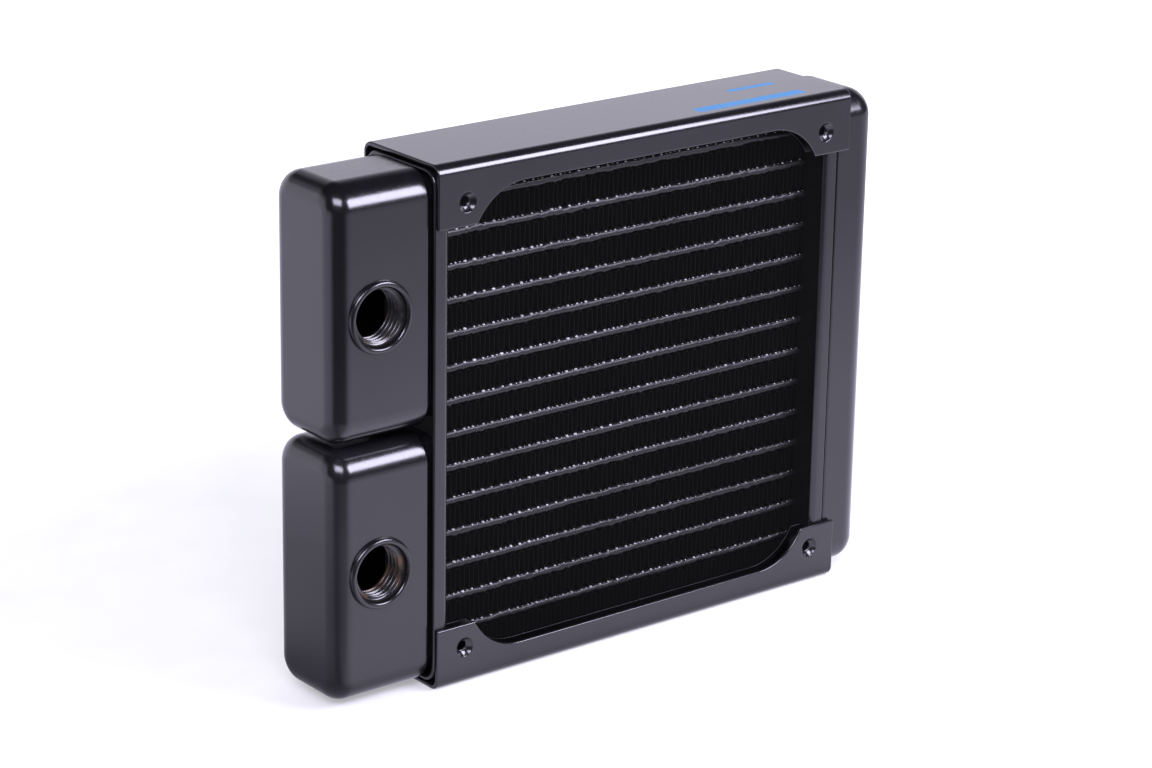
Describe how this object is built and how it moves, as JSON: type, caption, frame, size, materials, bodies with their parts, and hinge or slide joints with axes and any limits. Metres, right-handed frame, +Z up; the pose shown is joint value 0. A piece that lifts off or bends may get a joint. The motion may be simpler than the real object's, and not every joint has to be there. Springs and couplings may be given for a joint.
{
  "type": "liquid cooling radiator",
  "caption": "Liquid cooling radiator for a 120 mm fan: a flat-tube finned core in a folded sheet casing, with threaded port tanks at one end and a return tank at the other.",
  "frame": {"origin": "bottom centre of the whole radiator: midway between the tanks' ends, at mid depth, on the plane of the bottom cover's underside", "axes": "+X along the tubes, from the port tanks to the return tank; +Y through the core, from the face with the ports to the back; +Z up, across the tubes"},
  "size_m": [0.157, 0.0284, 0.1233],
  "materials": {
    "cover_paint": "satin black powder coat on sheet steel",
    "tank_paint": "satin black paint on drawn brass",
    "header_paint": "satin black paint on pressed brass",
    "guard_paint": "semi-matt black paint on sheet",
    "tube_paint": "thin satin black paint over soldered brass tube",
    "fin_paint": "thin semi-matt black paint on copper fin strip",
    "port_brass": "black painted collar, thread darkened with bare brass showing through"
  },
  "bodies": {
    "root": {"top_cover": "cover_paint", "bottom_cover": "cover_paint", "top_core_guard": "guard_paint", "bottom_core_guard": "guard_paint", "left_header_plate": "header_paint", "right_header_plate": "header_paint", "upper_port_tank": "tank_paint", "lower_port_tank": "tank_paint", "return_tank": "tank_paint", "upper_port_bushing": "port_brass", "lower_port_bushing": "port_brass", "tube_01": "tube_paint", "tube_02": "tube_paint", "tube_03": "tube_paint", "tube_04": "tube_paint", "tube_05": "tube_paint", "tube_06": "tube_paint", "tube_07": "tube_paint", "tube_08": "tube_paint", "tube_09": "tube_paint", "tube_10": "tube_paint", "tube_11": "tube_paint", "tube_12": "tube_paint", "tube_13": "tube_paint", "tube_14": "tube_paint", "fin_row_01": "fin_paint", "fin_row_02": "fin_paint", "fin_row_03": "fin_paint", "fin_row_04": "fin_paint", "fin_row_05": "fin_paint", "fin_row_06": "fin_paint", "fin_row_07": "fin_paint", "fin_row_08": "fin_paint", "fin_row_09": "fin_paint", "fin_row_10": "fin_paint", "fin_row_11": "fin_paint", "fin_row_12": "fin_paint", "fin_row_13": "fin_paint", "fin_row_14": "fin_paint", "fin_row_15": "fin_paint"}
  },
  "joints": []
}
